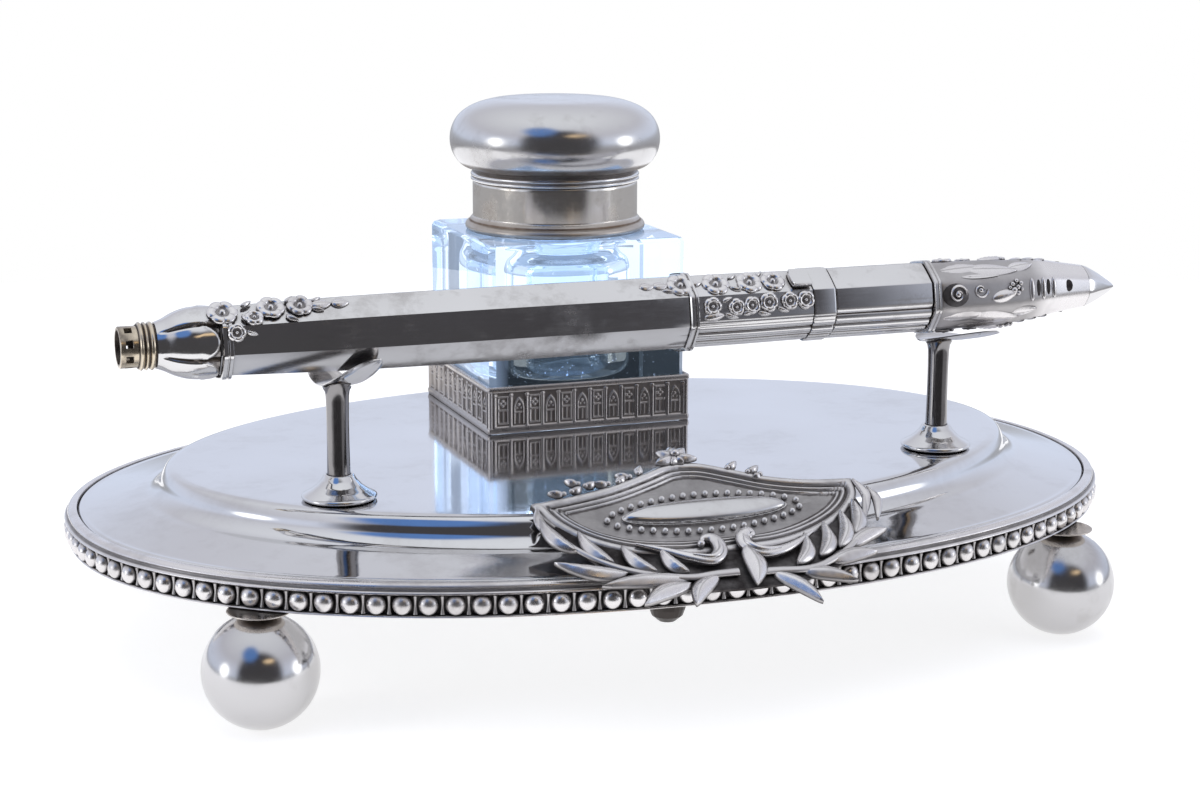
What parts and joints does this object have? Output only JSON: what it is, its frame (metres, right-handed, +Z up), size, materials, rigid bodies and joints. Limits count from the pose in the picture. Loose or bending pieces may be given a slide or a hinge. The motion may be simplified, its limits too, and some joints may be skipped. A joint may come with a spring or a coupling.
{
  "type": "desk inkstand with glass inkwell and pen",
  "caption": "Oval silver desk inkstand on ball feet, with a square glass inkwell under a hinged domed lid, a front cartouche, leaf-shaped pen rests and an ornate desk pen.",
  "frame": {"origin": "centre of the object's footprint, on the surface that the ball feet stand on", "axes": "+X along the tray's length to the end the pen's tip points to, +Y from the cartouche at the front to the inkwell at the back, +Z up"},
  "size_m": [0.22, 0.1622, 0.1048],
  "materials": {
    "silver_polished": "polished silver plate, light tarnish in the recesses",
    "silver_worked": "chased and oxidised silver, dark in the recesses",
    "steel": "plain",
    "crystal": "clear, faintly blue, polished",
    "wood_core": "unfinished, hidden"
  },
  "bodies": {
    "stand": {"tray": "silver_polished", "cartouche_boss": "silver_polished", "ball_foot_front_left": "silver_polished", "foot_pad_front_left": "silver_worked", "ball_foot_front_right": "silver_polished", "foot_pad_front_right": "silver_worked", "ball_foot_rear_left": "silver_polished", "foot_pad_rear_left": "silver_worked", "ball_foot_rear_right": "silver_polished", "foot_pad_rear_right": "silver_worked", "pen_rest_flange_left": "silver_polished", "pen_rest_column_left": "silver_polished", "pen_rest_cradle_left": "silver_polished", "pen_rest_nut_left": "steel", "laurel_spray_left": "silver_worked", "cartouche_scroll_left": "silver_worked", "pen_rest_flange_right": "silver_polished", "pen_rest_column_right": "silver_polished", "pen_rest_cradle_right": "silver_polished", "pen_rest_nut_right": "steel", "laurel_spray_right": "silver_worked", "cartouche_scroll_right": "silver_worked", "bead_border": "silver_worked", "gallery": "silver_worked", "cartouche_plate": "silver_worked", "cartouche_moulding": "silver_worked", "cartouche_beading": "silver_worked", "cartouche_finial": "silver_worked", "cartouche_nut": "steel"},
    "inkwell": {"inkwell_glass": "crystal", "neck_collar": "silver_polished", "hinge_leaf_collar": "silver_worked", "hinge_pin": "steel"},
    "lid": {"lid_seat_ring": "silver_polished", "lid_dome": "silver_polished", "hinge_leaf_lid": "silver_worked"},
    "pen": {"pen_nib_socket": "silver_polished", "pen_shoulder": "silver_polished", "pen_barrel": "silver_polished", "pen_band_nib_end": "silver_polished", "pen_band_middle": "silver_polished", "pen_band_scroll_end": "silver_polished", "pen_face_plate": "silver_polished", "pen_ferrule_collar": "silver_polished", "pen_fluted_barrel": "silver_polished", "pen_tip": "silver_polished", "pen_socket_collar": "silver_worked", "pen_scroll_end": "silver_worked", "pen_flowers_nib_end": "silver_worked", "pen_flowers_before_band": "silver_worked", "pen_flowers_top": "silver_worked", "pen_flowers_front": "silver_worked", "pen_core": "wood_core"}
  },
  "joints": [
    {"name": "inkwell_lift", "type": "slide", "parent": "stand", "child": "inkwell", "axis": [0, 0, 1], "range_m": [0, 0.03]},
    {"name": "lid_hinge", "type": "hinge", "parent": "inkwell", "child": "lid", "pos_m": [0.002, 0.0581, 0.087], "axis": [-1, 0, 0], "range_deg": [0, 105]},
    {"name": "pen_lift", "type": "slide", "parent": "stand", "child": "pen", "axis": [0, 0, 1], "range_m": [0, 0.03]}
  ]
}
